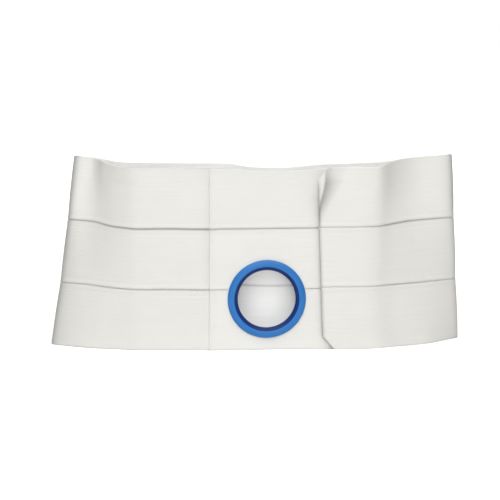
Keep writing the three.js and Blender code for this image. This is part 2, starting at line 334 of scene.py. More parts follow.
# Looks of the materials. A noise has a scale and a detail, and a shade is how far a second colour mixes in.
NOISE_MIDDLE = 0.5
CLOTH_LOOK = SimpleNamespace(
    shader={"Specular IOR Level": 0.2, "Sheen Weight": 0.12, "Sheen Roughness": 0.5},
    ribs_in_pitch=2,
    mottle_noise=(24.0, 4.0),
    streak_stretch=(7.0, 380.0, 1.0),
    streak_noise=(1.0, 3.0),
    fuzz_noise=(1900.0, 2.0),
    # groove_shade and yarn_shade paint shade into the rib grooves and between the yarns
    groove_shade=0.1,
    yarn_shade=0.12,
    mottle_shade=0.1,
    streak_shade=0.12,
    fuzz_shade=0.04,
    roughness=0.86,
    groove_roughness=0.06,
    fuzz_roughness=0.1,
    rib_height=0.45,
    yarn_height=0.55,
    fuzz_height=0.3,
    bump=0.5,
    bump_depth=0.22 * MM,
)
PLASTIC_LOOK = SimpleNamespace(
    shader={"Specular IOR Level": 0.17, "Coat Roughness": 0.2},
    flow_stretch=(9.0, 900.0, 1.0),
    flow_noise=(1.0, 2.0),
    cloud_noise=(55.0, 3.0),
    scuff_noise=(2600.0, 2.0),
    lighter_part=1.3,
    lighter_lift=0.01,
    shade=0.3,
    cloud_shade=0.5,
    flow_shade=0.5,
    # throat_shade and throat_cloud_shade paint shade on the throat, the ring's inner slope
    throat_shade=0.93,
    throat_cloud_shade=0.14,
    roughness=0.38,
    cloud_roughness=0.14,
    scuff_roughness=0.12,
    throat_roughness=0.1,
    coat=0.1,
    throat_coat_loss=0.09,
    flow_height=0.6,
    scuff_height=0.4,
    bump=0.12,
    bump_depth=0.05 * MM,
)
THREAD_LOOK = SimpleNamespace(
    shader={"Specular IOR Level": 0.25, "Sheen Weight": 0.15},
    plies_along=5,
    plies_around=2,
    lint_noise=(900.0, 2.0),
    dark_part=0.55,
    ply_shade=0.6,
    lint_shade=0.5,
    shade_loss=0.05,
    roughness=0.72,
    lint_roughness=0.2,
    bump=0.5,
    bump_depth=0.1 * MM,
)
HOOK_LOOK = SimpleNamespace(
    shader={"Specular IOR Level": 0.3},
    pitch=1.6 * MM,
    lint_noise=(140.0, 4.0),
    dark_part=0.62,
    hook_shade=0.7,
    lint_shade=0.4,
    roughness=0.6,
    lint_roughness=0.25,
    bump=0.7,
    bump_depth=0.4 * MM,
)
FLOOR_SHADER = {"Specular IOR Level": 0.0, "Roughness": 1.0}

# Stage: lamps round the belt, one more that shines through the ring from the camera's side, and the camera
Lamp = namedtuple("Lamp", "name kind place power settings")
KEY_SHAPE = {"spread": math.radians(100), "shape": "RECTANGLE", "size": 0.32, "size_y": 0.5}
LAMPS = (
    Lamp("key", "AREA", (0.04, -0.86, 0.44), 0.6, KEY_SHAPE),
    Lamp("overhead", "SUN", (0, -1.1, 3), 3.28, {"angle": math.radians(70)}),
    Lamp("behind", "AREA", (0.5, 1.9, 1.1), 20.0, {"size": 1.2}),
)
RING_LAMP_DISTANCE = 1.5
RING_LAMP_POWER = 10.0
RING_LAMP_RADIUS = 43 * MM
RING_LAMP_BLEND = 0.08
RING_LAMP_SIZE = 0.01
WORLD_STRENGTH = 0.12
FLOOR_SIZE = 16.0
CAMERA_SENSOR = 36.0
CAMERA_LENS = 172.8
CAMERA_DISTANCE = 3.0
CAMERA_ELEVATION = math.radians(12)
CAMERA_TARGET = (-5 * MM, 20 * MM, 124.2 * MM)

# Names of the attributes that the meshes carry to their materials and trees
CHART = "chart"
ACROSS = "across"
LIGHTENED_LINING = "lightened_lining"
# greyed carries painted shade along seams, rims, folds, creases and the flap's edge, and the strips' darker
# tone towards the bottom
GREYED = "greyed"
OUT = "out"
THREAD_CHART = "thread"
THREAD_FADING = "blended"


# Sizes and colours that a user would change

def length_property(label, what, default):
    """A length in metres that shows in the sidebar."""
    return FloatProperty(name=label, description=what, default=default, min=0.0, precision=5, unit="LENGTH")


def colour_property(label, what, default):
    """A linear colour that shows in the sidebar."""
    return FloatVectorProperty(name=label, description=what, default=default, min=0.0, max=1.0, size=3,
                               subtype="COLOR")


class BeltSizes(bpy.types.PropertyGroup):
    """Sizes of the cloth's surface and its stitches."""
    rib_count: IntProperty(name="Ribs", description="Ribs across one strip", default=24, min=4, max=40)
    rib_depth: length_property("Rib depth", "Height of a rib over the cloth's face", 0.05 * MM)
    yarn_pitch: length_property("Yarn pitch", "Distance between the yarns that cross a rib", 1.25 * MM)
    strip_crown: length_property("Strip crown", "How far a strip swells between its seams", 0.7 * MM)
    pucker_depth: length_property("Pucker depth", "Depth of the small gathers along a seam", 0.16 * MM)
    seam_stitch_pitch: length_property("Seam stitch pitch", "Distance between a seam's stitches", 1.9 * MM)
    seam_stitch_width: length_property("Seam stitch width", "Width of a seam's zigzag", 4.2 * MM)
    hem_stitch_pitch: length_property("Hem stitch pitch", "Distance between a hem's stitches", 3.0 * MM)
    thread_radius: length_property("Thread radius", "Radius of the sewing thread", 0.27 * MM)
    stitch_seed: IntProperty(name="Stitch seed", description="Seed of the stitches' differences", default=3)


class BeltColours(bpy.types.PropertyGroup):
    """Colours of the belt's pieces and of the floor."""
    elastic: colour_property("Elastic", "Woven elastic strips", (0.70, 0.692, 0.655))
    panel: colour_property("Panel", "Cloth of the front panel", (0.70, 0.693, 0.662))
    # The inner face's paler colour is painted light that brightens the inside of the loop, which lies in
    # shade
    lightened_lining: colour_property("Lining", "Brushed inner face of the cloth", (0.95, 0.945, 0.925))
    # The groove colour is painted shade: the cloth mixes towards it in rib grooves, between yarns, along
    # seams and rims, round folds and in creases, and a little with random mottle and streaks
    groove: colour_property("Groove", "Cloth between ribs and along edges", (0.34, 0.335, 0.32))
    # The seam thread's dark grey is partly painted shade, standing in for the shade of the seams' grooves and
    # the flap's edge
    seam_thread: colour_property("Seam thread", "Thread of the seams and the flap's edge", (0.42, 0.42, 0.41))
    hem_thread: colour_property("Hem thread", "Thread of the hem at the joint", (0.74, 0.73, 0.69))
    ring: colour_property("Ring", "Moulded ring", (0.019, 0.128, 0.37))
    # The throat colour is painted shade on the ring's inner slope
    throat: colour_property("Throat", "Inside of the ring", (0.0015, 0.013, 0.1))
    hook_tape: colour_property("Hook tape", "Closure under the flap", (0.70, 0.685, 0.63))
    floor: colour_property("Floor", "Floor of the studio", (0.94, 0.94, 0.94))


# Node trees

def math_operator(operation):
    """A method that puts a Math node between a field and another value."""
    def operate(self, other):
        return self.math(operation, self, other)
    return operate


class Field:
    """A socket of a node tree that takes part in Python expressions, which add Math nodes to the tree."""

    def __init__(self, tree, socket=None):
        self.tree = tree
        self.socket = socket

    def node(self, kind, settings=None, inputs=None, output=0):
        """Add a node of a kind, make its settings, then set or link its sockets, and wrap one output."""
        made = self.tree.nodes.new(kind)
        for name, value in (settings or {}).items():
            setattr(made, name, value)
        for key, value in (inputs or {}).items():
            self.feed(made.inputs[key], value)
        return Field(self.tree, made.outputs[output])

    def feed(self, socket, value):
        """Link a field to a socket, or set the socket to a plain value."""
        if isinstance(value, Field):
            self.tree.links.new(value.socket, socket)
        else:
            socket.default_value = value

    def math(self, operation, first, second=0.0):
        """A Math node on two values."""
        return self.node("ShaderNodeMath", {"operation": operation}, {0: first, 1: second})

    __add__ = math_operator("ADD")
    __sub__ = math_operator("SUBTRACT")
    __mul__ = math_operator("MULTIPLY")
    __truediv__ = math_operator("DIVIDE")
    __mod__ = math_operator("FLOORED_MODULO")

    def __rsub__(self, other):
        return self.math("SUBTRACT", other, self)

    def wave(self):
        """A cosine of the value, from 0 to 1."""
        return self.math("COSINE", self) * 0.5 + 0.5

    def floor(self):
        """The whole number below the value."""
        return self.math("FLOOR", self)

    def step(self, low, high):
        """A smooth step from 0 at low to 1 at high."""
        limits = {"Value": self, "From Min": low, "From Max": high}
        return self.node("ShaderNodeMapRange", {"interpolation_type": "SMOOTHSTEP"}, limits)


class Finish:
    """A material under way: its Principled shader, and a start for the expressions that feed it."""

    def __init__(self, name, constants):
        self.material = bpy.data.materials.new(name)
        self.material.use_nodes = True
        self.start = Field(self.material.node_tree)
        self.sockets = self.material.node_tree.nodes["Principled BSDF"].inputs
        self.set(constants)

    def set(self, values):
        """Set or feed sockets of the shader, by name."""
        for name, value in values.items():
            self.start.feed(self.sockets[name], value)

    def done(self, look, colour, roughness, height):
        """The finished material, with its colour, its roughness and a bump from a height."""
        bump = {"Strength": look.bump, "Distance": look.bump_depth, "Height": height}
        normal = self.start.node("ShaderNodeBump", {}, bump)
        self.set({"Base Color": colour, "Roughness": roughness, "Normal": normal})
        return self.material

    def place(self):
        """Place in the object's own space."""
        return self.start.node("ShaderNodeTexCoord", output="Object")

    def chart(self, name):
        """A UV map."""
        return self.start.node("ShaderNodeUVMap", {"uv_map": name})

    def part(self, vector, axis):
        """One part of a vector."""
        return self.start.node("ShaderNodeSeparateXYZ", {}, {"Vector": vector}, axis)

    def stretched(self, vector, factors):
        """A vector multiplied by factors, part by part."""
        return self.start.node("ShaderNodeVectorMath", {"operation": "MULTIPLY"}, {0: vector, 1: factors})

    def noise(self, vector, scale, detail):
        """A noise from 0 to 1."""
        settings = {"Vector": vector, "Scale": scale, "Detail": detail}
        return self.start.node("ShaderNodeTexNoise", {}, settings, "Fac")

    def attribute(self, name):
        """A number that the mesh carries."""
        return self.start.node("ShaderNodeAttribute", {"attribute_name": name}, output="Fac")

    def mix(self, factor, first, second):
        """A mix of two colours."""
        return self.start.node("ShaderNodeMix", {"data_type": "RGBA"}, {0: factor, 6: first, 7: second}, 2)


def opaque(colour, part=1.0, lift=0.0):
    """A linear colour with full alpha, scaled and lifted."""
    return (*(min(1.0, value * part + lift) for value in colour), 1.0)


def woven_cloth(name, colour, lightened_lining, groove, sizes):
    """Woven elastic: ribs, crossing yarns, faint streaks, painted shade in grooves and where the mesh carries
    it, and a paler inner face as painted light.
    """
    look = CLOTH_LOOK
    finish = Finish(name, look.shader)
    chart = finish.chart(CHART)
    along = finish.part(chart, "X")
    across = finish.part(chart, "Y")
    rib_pitch = STRIP_WIDTH / sizes.rib_count / look.ribs_in_pitch
    rib = (across * (TURN / rib_pitch)).wave()
    row_of_yarns = (across * (1 / rib_pitch) + 0.5).floor() % 2.0
    yarn = (along * (TURN / sizes.yarn_pitch) + row_of_yarns * math.pi).wave()
    place = finish.place()
    mottle = finish.noise(place, *look.mottle_noise) - NOISE_MIDDLE
    streak = finish.noise(finish.stretched(chart, look.streak_stretch), *look.streak_noise) - NOISE_MIDDLE
    fuzz = finish.noise(place, *look.fuzz_noise)
    lint = fuzz - NOISE_MIDDLE
    greyed = finish.attribute(GREYED)
    # Painted shade in the rib grooves and between the yarns, random mottle and streaks, then the painted
    # shade that the mesh carries
    shade = (1 - rib) * look.groove_shade + (1 - yarn) * rib * look.yarn_shade
    shade = shade + mottle * look.mottle_shade + streak * look.streak_shade
    factor = shade + greyed + lint * look.fuzz_shade * greyed
    # The inner face is painted paler: painted light for the loop's shaded inside
    face = finish.mix(finish.attribute(LIGHTENED_LINING), opaque(colour), opaque(lightened_lining))
    roughness = (1 - rib) * look.groove_roughness + lint * look.fuzz_roughness + look.roughness
    height = rib * (yarn * look.yarn_height + look.rib_height) + fuzz * look.fuzz_height
    return finish.done(look, finish.mix(factor, face, opaque(groove)), roughness, height)


def moulded_plastic(name, colour, throat, throat_start):
    """Satin moulded plastic with painted shade inside the throat, faint flow marks and fine scuffs."""
    look = PLASTIC_LOOK
    finish = Finish(name, look.shader)
    place = finish.place()
    chart = finish.chart(CHART)
    section = finish.part(chart, "Y")
    inside = section.step(throat_start - THROAT_BLUR, throat_start + THROAT_BLUR)
    flow = finish.noise(finish.stretched(chart, look.flow_stretch), *look.flow_noise)
    cloud = finish.noise(place, *look.cloud_noise) - NOISE_MIDDLE
    scuff = finish.noise(place, *look.scuff_noise)
    mottle = cloud * look.cloud_shade + (flow - NOISE_MIDDLE) * look.flow_shade + look.shade
    body = finish.mix(mottle, opaque(colour), opaque(colour, look.lighter_part, look.lighter_lift))
    # Painted shade on the throat
    deep = inside * (cloud * look.throat_cloud_shade + look.throat_shade)
    blended = cloud * look.cloud_roughness + (scuff - NOISE_MIDDLE) * look.scuff_roughness
    roughness = blended + inside * look.throat_roughness + look.roughness
    height = flow * look.flow_height + scuff * look.scuff_height
    finish.set({"Coat Weight": look.coat - inside * look.throat_coat_loss})
    return finish.done(look, finish.mix(deep, body, opaque(throat)), roughness, height)


def sewing_thread(name, colour, faded_colour):
    """Twisted thread: slanting plies along each stitch, with painted shade between them and lint, and paler
    where the seams' painted shade fades.
    """
    look = THREAD_LOOK
    finish = Finish(name, look.shader)
    chart = finish.chart(THREAD_CHART)
    around = finish.part(chart, "X")
    along = finish.part(chart, "Y")
    ply = (along * (look.plies_along * TURN) + around * (look.plies_around * TURN)).wave()
    lint = finish.noise(finish.place(), *look.lint_noise)
    # Painted shade between the plies, and lint
    shade = ply * look.ply_shade + lint * look.lint_shade - look.shade_loss
    fresh = finish.mix(shade, opaque(colour, look.dark_part), opaque(colour))
    # Paler where the seams' painted shade fades
    colour_there = finish.mix(finish.attribute(THREAD_FADING), fresh, opaque(faded_colour))
    roughness = (lint - NOISE_MIDDLE) * look.lint_roughness + look.roughness
    return finish.done(look, colour_there, roughness, ply)


def hook_cloth(name, colour):
    """Hook tape: rows of small hooks on a woven ground, with painted shade between the hooks."""
    look = HOOK_LOOK
    finish = Finish(name, look.shader)
    chart = finish.chart(CHART)
    along = finish.part(chart, "X")
    across = finish.part(chart, "Y")
    row = (across * (1 / look.pitch)).floor() % 2.0
    hooks = (along * (TURN / look.pitch) + row * math.pi).wave() * (across * (TURN / look.pitch)).wave()
    lint = finish.noise(finish.place(), *look.lint_noise)
    # Painted shade on the ground between the hooks, and lint
    shade = hooks * look.hook_shade + lint * look.lint_shade
    colour_there = finish.mix(shade, opaque(colour, look.dark_part), opaque(colour))
    return finish.done(look, colour_there, lint * look.lint_roughness + look.roughness, hooks)


def new_tree(name, *inputs):
    """An empty geometry tree with named inputs, mostly numbers, and a start for its expressions."""
    kinds = {"Geometry": "Geometry", "Seed": "Int", "Material": "Material"}
    tree = bpy.data.node_groups.new(name, "GeometryNodeTree")
    tree.interface.new_socket("Geometry", in_out="OUTPUT", socket_type="NodeSocketGeometry")
    for label in ("Geometry", *inputs):
        kind = kinds.get(label, "Float")
        tree.interface.new_socket(label, in_out="INPUT", socket_type=f"NodeSocket{kind}")
    return tree, Field(tree)


def group_input(start, label):
    """One named input of a geometry tree."""
    return start.node("NodeGroupInput", output=label)


def carried(start, name, kind):
    """An attribute that the geometry carries."""
    return start.node("GeometryNodeInputNamedAttribute", {"data_type": kind}, {"Name": name})


def end_tree(start, geometry):
    """Realize what the tree made, shade it smooth and give it its material."""
    real = start.node("GeometryNodeRealizeInstances", {}, {"Geometry": geometry})
    smooth = start.node("GeometryNodeSetShadeSmooth", {}, {"Geometry": real})
    finish = {"Geometry": smooth, "Material": group_input(start, "Material")}
    finished = start.node("GeometryNodeSetMaterial", {}, finish)
    ending = start.tree.nodes.new("NodeGroupOutput")
    start.feed(ending.inputs["Geometry"], finished)


def rib_tree():
    """Raises ribs that run along a strip, by the distance across it."""
    tree, start = new_tree("strip_ribs", "Pitch", "Depth", "Material")
    across = carried(start, ACROSS, "FLOAT")
    lift = (across / group_input(start, "Pitch") * TURN).wave() * group_input(start, "Depth")
    normal = start.node("GeometryNodeInputNormal")
    offset = start.node("ShaderNodeVectorMath", {"operation": "SCALE"}, {0: normal, "Scale": lift})
    moved = {"Geometry": group_input(start, "Geometry"), "Offset": offset}
    end_tree(start, start.node("GeometryNodeSetPosition", {}, moved))
    return tree


def stitch_tree():
    """Lays stitches along paths, turned to alternate sides by a slant, each a little different."""
    tree, start = new_tree("sewn_stitches", "Pitch", "Reach", "Slant", "Thread", "Seed", "Material")
    path = start.node("GeometryNodeMeshToCurve", {}, {"Mesh": group_input(start, "Geometry")})
    spaced = {"Curve": path, "Length": group_input(start, "Pitch")}
    points = start.node("GeometryNodeResampleCurve", {"mode": "LENGTH"}, spaced)
    ball = start.node("GeometryNodeMeshUVSphere", {}, {"Segments": STITCH_SEGMENTS, "Rings": STITCH_RINGS})
    ball_chart = Field(tree, ball.socket.node.outputs["UV Map"])
    stored = {"Geometry": ball, "Name": THREAD_CHART, "Value": ball_chart}
    storing = {"data_type": "FLOAT2", "domain": "CORNER"}
    stitch = start.node("GeometryNodeStoreNamedAttribute", storing, stored)
    axes = {
        "Primary Axis": start.node("GeometryNodeInputTangent"),
        "Secondary Axis": carried(start, OUT, "FLOAT_VECTOR"),
    }
    upright = start.node("FunctionNodeAxesToRotation", {"primary_axis": "Z", "secondary_axis": "X"}, axes)
    side = 1 - (start.node("GeometryNodeInputIndex") % 2.0) * 2
    limits = {2: 1 - STITCH_SPREAD, 3: 1 + STITCH_SPREAD, "Seed": group_input(start, "Seed")}
    differs = start.node("FunctionNodeRandomValue", {}, limits, 1)
    turn = {"Axis": (1.0, 0.0, 0.0), "Angle": side * group_input(start, "Slant") * differs}
    slanted = {
        "Rotation": upright,
        "Rotate By": start.node("FunctionNodeAxisAngleToRotation", {}, turn),
    }
    rotation = start.node("FunctionNodeRotateRotation", {"rotation_space": "LOCAL"}, slanted)
    thread = group_input(start, "Thread")
    shape = {"X": thread * differs, "Y": thread, "Z": group_input(start, "Reach") * differs}
    scale = start.node("ShaderNodeCombineXYZ", {}, shape)
    laid = {"Points": points, "Instance": stitch, "Rotation": rotation, "Scale": scale}
    end_tree(start, start.node("GeometryNodeInstanceOnPoints", {}, laid))
    return tree


# Shapes

FRONT_ALONG = np.array((1, FRONT_SLOPE, 0)) / math.hypot(1, FRONT_SLOPE)
FRONT_UP = np.array((0, FRONT_LEAN, FRONT_RISE)) / math.hypot(FRONT_LEAN, FRONT_RISE)
FRONT_OUT = np.cross(FRONT_ALONG, FRONT_UP) / np.linalg.norm(np.cross(FRONT_ALONG, FRONT_UP))


def front_point(x, share):
    """A point of the front plane, as the middle of the panel's cloth."""
    return np.array((x, front_depth(x, share), FRONT_RISE * share))


PATCH_DEPTH = HALF_CLOTH + FIT_GAP + PATCH_THICKNESS / 2
PATCH_CENTRE = front_point(PATCH_X, 0.5) + PATCH_DEPTH * FRONT_OUT
RING_CENTRE = front_point(RING_X, RING_HEIGHT / BELT_HEIGHT)


def frame_shift():
    """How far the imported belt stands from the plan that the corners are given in."""
    low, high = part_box("hook_patch")
    return np.array((low + high) / 2) - PATCH_CENTRE


def smooth_step(value, low, high):
    """A smooth step from 0 at low to 1 at high, for arrays."""
    part = np.clip((value - low) / (high - low), 0, 1)
    return part * part * (3 - 2 * part)


def bell(distance, width):
    """A smooth hump of a half width, 1 in its middle, for arrays."""
    return np.exp(-(distance / width) ** 2)


def end_fullness(distance, rounding=HALF_CLOTH):
    """How full a sheet is at a distance from its end, which is rounded."""
    part = np.clip(distance / rounding, 0, 1)
    return np.sqrt(1 - (1 - part) ** 2)


def corner_cut(share):
    """How far the flap's end is cut back at its lower and upper corners."""
    from_end = min(share, 1 - share) * BELT_HEIGHT
    return FLAP_CORNER_WIDTH * max(0.0, 1 - from_end / FLAP_CORNER_HEIGHT)


def bend_arc(before, point, after, radius, steps):
    """Points of the arc that rounds a corner, no larger than its neighbours leave room for."""
    to_before = before - point
    to_after = after - point
    reaches = np.linalg.norm(to_before), np.linalg.norm(to_after)
    to_before = to_before / reaches[0]
    to_after = to_after / reaches[1]
    half = math.acos(np.clip(to_before @ to_after, -1, 1)) / 2
    reach = min(radius / math.tan(half), FULLEST_BEND * min(reaches))
    bend = reach * math.tan(half)
    middle = to_before + to_after
    centre = point + middle / np.linalg.norm(middle) * bend / math.sin(half)
    start = point + to_before * reach - centre
    end = point + to_after * reach - centre
    turn = math.atan2(start[0] * end[1] - start[1] * end[0], start @ end)
    angles = math.atan2(start[1], start[0]) + turn * np.linspace(0, 1, steps + 1)
    return centre + bend * np.column_stack((np.cos(angles), np.sin(angles)))


def relaxed(points, ease):
    """A line of points eased towards the middle of their neighbours, as cloth eases a corner."""
    for unused in range(RELAX_PASSES):
        middle = (points[:-2] + points[2:]) / 2
        points[1:-1] += ease[1:-1, None] * (middle - points[1:-1])
    return points


def level_out(points):
    """Level outward directions of a line of points."""
    along = np.gradient(points, axis=0)
    out = np.column_stack((-along[:, 1], along[:, 0], np.zeros(len(points))))
    return out / np.linalg.norm(out, axis=1)[:, None]


def length_along(points):
    """Length from the first point of a line to each point."""
    return np.concatenate(((0.0,), np.cumsum(np.linalg.norm(np.diff(points, axis=0), axis=1))))


def nearest_seam(share):
    """The number of the seam nearest to a share of the height, counted from below."""
    return min(max(round(share * STRIP_COUNT), 1), STRIP_COUNT - 1)


def seam_distance(share):
    """Distance of a share of the height from the nearest seam."""
    return abs(share - nearest_seam(share) / STRIP_COUNT) * BELT_HEIGHT


def strip_arch(share):
    """An arch over each strip, 0 at its edges and 1 at its middle."""
    return math.sin(math.pi * (share * STRIP_COUNT % 1))


def seam_welt(share):
    """Height of the welt beside a seam, and of the shallow line that its second row of stitches leaves."""
    from_seam = seam_distance(share)
    welt = WELT_HEIGHT * bell(from_seam - WELT_PLACE, WELT_WIDTH)
    return welt - WELT_LINE_DEPTH * bell(from_seam - WELT_LINE_PLACE, WELT_LINE_WIDTH)


def corner_columns(*names):
    """Columns of the table of corners, by name."""
    return np.array([[getattr(row, name) for name in names] for row in CORNERS])


# The middle surface of a sheet, a row for each share of the height: its points, their outward directions,
# their lengths along the sheet, and the painted shade of a crease there.
Surface = namedtuple("Surface", "middle out along crease")


def stacked(rows):
    """One surface from its rows."""
    return Surface(*(np.array(part) for part in zip(*rows)))


class BeltLoop:
    """The middle surface of the elastic, from the joint round both folds to the end of the flap."""

    def __init__(self, sizes):
        self.sizes = sizes
        self.low = corner_columns("low_x", "low_y")
        self.top = corner_columns("top_x", "top_y")
        self.belly = corner_columns("belly_x", "belly_y")
        measures = corner_columns("low_r", "top_r", "top_z", "lift")
        self.low_radius, self.top_radius, self.top_z, self.lift = measures.T
        self.lay_out_columns()
        random = np.random.default_rng(WAVE_SEED)
        self.waves = [Wave(*parts) for parts in random.uniform(0, 1, (WAVE_COUNT, len(Wave._fields)))]

    def corners_at(self, share):
        """Plan points and bend radii of the corners at a share of the height."""
        plan = self.low + (self.top - self.low) * share + self.belly * BELLY_SHAPE * share * (1 - share)
        plan[-1] += corner_cut(share) * np.array((1, FRONT_SLOPE))
        return plan, self.low_radius + (self.top_radius - self.low_radius) * share

    def bend(self, plan, radii, index, steps):
        """The rounded corner of an index, a single point where it has no radius."""
        if self.top_radius[index] == 0:
            return plan[index:index + 1]
        return bend_arc(plan[index - 1], plan[index], plan[index + 1], radii[index], steps)

    def lay_out_columns(self):
        """Choose the steps of each bend and straight at half height, and how far each column is eased."""
        plan, radii = self.corners_at(0.5)
        trial = [self.bend(plan, radii, index, LEAST_BEND_STEPS) for index in range(len(CORNERS))]
        self.bend_steps = []
        self.span_steps = []
        self.fold_columns = {"joint": 0}
        ease = []
        last = len(CORNERS) - 1
        for index, row in enumerate(CORNERS):
            is_fold = "fold" in row.at
            if row.at == "right_shoulder":
                self.flap_column = sum(len(part) for part in ease)
            step = FOLD_COLUMN_LENGTH if is_fold else COLUMN_LENGTH
            steps = max(LEAST_BEND_STEPS, math.ceil(length_along(trial[index])[-1] / step))
            self.bend_steps.append(steps)
            bend_ease = RELAX_SHARP_EASE if row.at in SHARP_CORNERS else RELAX_EASE
            ease.append(np.full(1 if self.top_radius[index] == 0 else steps + 1, bend_ease))
            if index == last:
                break
            on_curl = index == last - 1
            span = np.linalg.norm(trial[index + 1][0] - trial[index][-1])
            step = CURL_COLUMN_LENGTH if on_curl else COLUMN_LENGTH
            steps = max(LEAST_SPAN_STEPS, math.ceil(span / step))
            self.span_steps.append(steps)
            count = steps - 1 + (len(END_ROUNDING) if index in (0, last - 1) else 0)
            if is_fold and "fold" in CORNERS[index + 1].at:
                side = row.at.split("_")[0]
                self.fold_columns[side] = sum(len(part) for part in ease) + count // 2
            ease.append(np.full(count, 0.0 if on_curl else RELAX_EASE))
        self.ease = np.concatenate(ease)
        self.ease[:STILL_COLUMNS] = 0.0

    def span_parts(self, index, span):
        """Shares along a straight where its columns stand, closer together at the cloth's two ends."""
        parts = np.linspace(0, 1, self.span_steps[index] + 1)[1:-1]
        ends = np.array(END_ROUNDING) / span
        if index == 0:
            return np.concatenate((ends, parts))
        if index == len(self.span_steps) - 1:
            return np.concatenate((parts, 1 - ends[::-1]))
        return parts

    def row(self, share):
        """One level line of the middle surface, before the cloth's soft folds."""
        plan, radii = self.corners_at(share)
        level = self.top_z * share + self.lift * LIFT_SHAPE * share * (1 - share) ** 2
        bends = [self.bend(plan, radii, index, steps) for index, steps in enumerate(self.bend_steps)]
        points = []
        heights = []
        for index, bend in enumerate(bends):
            points.append(bend)
            heights.append(np.full(len(bend), level[index]))
            if index == len(bends) - 1:
                break
            run = bends[index + 1][0] - bend[-1]
            parts = self.span_parts(index, np.linalg.norm(run))
            points.append(bend[-1] + run * parts[:, None])
            heights.append(level[index] + (level[index + 1] - level[index]) * parts)
        line = np.column_stack((np.concatenate(points), np.concatenate(heights)))
        return relaxed(line, self.ease)

    def from_fold(self, along, side):
        """Lengths from the fold on one side, or from the joint, for lengths along the cloth."""
        column = self.fold_columns[side]
        return along - along[..., column:column + 1]

    def seam_fading(self, along):
        """How far the seams' painted shade and their thread's grey fade, most on the flap and some round the
        folds.
        """
        kept = smooth_step(along[..., -1:] - along, *SEAM_FADING_ON_FLAP)
        for side in ("left", "right"):
            kept = kept * (1 - SEAM_FADING_AT_FOLD * bell(self.from_fold(along, side), SEAM_FADING_REACH))
        return 1 - kept

    def greys(self, cloth, shares):
        """Painted shade in the cloth's creases, round its folds and along the flap's end."""
        greys = cloth.crease
        for grey in FOLD_SHADES:
            high = smooth_step(shares, grey.low_share, grey.top_share)
            tone = grey.low_tone + (grey.top_tone - grey.low_tone) * high
            greys = greys + tone * bell(self.from_fold(cloth.along, grey.side) - grey.place, grey.width)
        # Painted shade along the flap's edge
        flap_edge = FLAP_EDGE_TONE * bell(cloth.along[:, -1:] - cloth.along, FLAP_EDGE_WIDTH)
        return greys + flap_edge * (1 - smooth_step(shares, *FLAP_EDGE_FADE))

    def swell(self, along, share):
        """How far the cloth stands off its plain surface: crowned strips, soft folds, waves and puckers."""
        from_end = along[-1] - along
        crown = self.sizes.strip_crown * strip_arch(share)
        folds = np.zeros_like(along)
        for fold in FOLDS:
            distance = along - fold.place if fold.place > 0 else from_end + fold.place
            part = fold.low_part + (fold.top_part - fold.low_part) * share
            folds += fold.height * part * bell(distance, fold.width)
        ripples = np.zeros_like(along)
        shortest, longest = WAVE_LENGTHS
        for wave in self.waves:
            turns = along / (shortest + (longest - shortest) * wave.length_part)
            turns = turns + share * (2 * wave.slope_part - 1) + wave.phase
            ripples += WAVE_HEIGHT * wave.height_part * np.sin(TURN * turns)
        ripples *= smooth_step(from_end, *WAVE_FADE_BY_FLAP)
        wander = PUCKER_WANDER * np.sin(TURN * along / PUCKER_WANDER_LENGTH + nearest_seam(share))
        puckers = np.sin(TURN * along / PUCKER_LENGTH + wander) - PUCKER_BIAS
        puckers *= self.sizes.pucker_depth * math.exp(-seam_distance(share) / PUCKER_REACH)
        puckers *= smooth_step(from_end, *PUCKER_FADE_BY_FLAP)
        settled = smooth_step(along, 0, WAVE_FADE)
        tuck = TUCK_DEPTH * (1 - smooth_step(along, 0, TUCK_WIDTH))
        return (crown + ripples + puckers) * settled + folds + seam_welt(share) - tuck

    def curl(self, line, share):
        """Lift of the flap's upper corner, which curls along a slanting crease, and the painted shade in the
        crease.
        """
        height = max(0.0, (share - CURL_START) / (1 - CURL_START))
        edge = line[-1, 0] - corner_cut(share)
        past_crease = line[:, 0] - edge - CURL_CREASE * smooth_step(height, *CURL_CREASE_SPAN)
        eased = (past_crease + np.sqrt(past_crease ** 2 + CURL_SOFTNESS ** 2)) / 2
        reach = CURL_REACH * (CURL_LEAST_REACH + (1 - CURL_LEAST_REACH) * height)
        fall = np.clip(1 - eased / reach, 0, 1) ** 2
        on_flap = np.arange(len(line)) >= self.flap_column
        # Painted shade in the crease, on the side past it
        tone = CURL_TONE * smooth_step(height, *CURL_TONE_SPAN)
        tone *= 1 - CURL_TONE_FADE * smooth_step(height, *CURL_TONE_FADE_SPAN)
        tone_reach = max(CURL_SOFTNESS, CURL_TONE_REACH * height ** CURL_TONE_GROWTH)
        crease_shade = tone * np.clip(1 - eased / tone_reach, 0, 1)
        crease_shade *= smooth_step(past_crease, -CURL_SOFTNESS, CURL_SOFTNESS)
        return CURL_LIFT * height ** CURL_RISE * fall * on_flap, crease_shade * on_flap

    def surface(self, shares):
        """The cloth's middle surface at shares of the height."""
        rows = []
        for share in shares:
            line = self.row(share)
            out = level_out(line)
            along = length_along(line)
            line = line + out * self.swell(along, share)[:, None]
            lift, crease = self.curl(line, share)
            rows.append(Surface(line + FRONT_OUT * lift[:, None], out, along, crease))
        return stacked(rows)


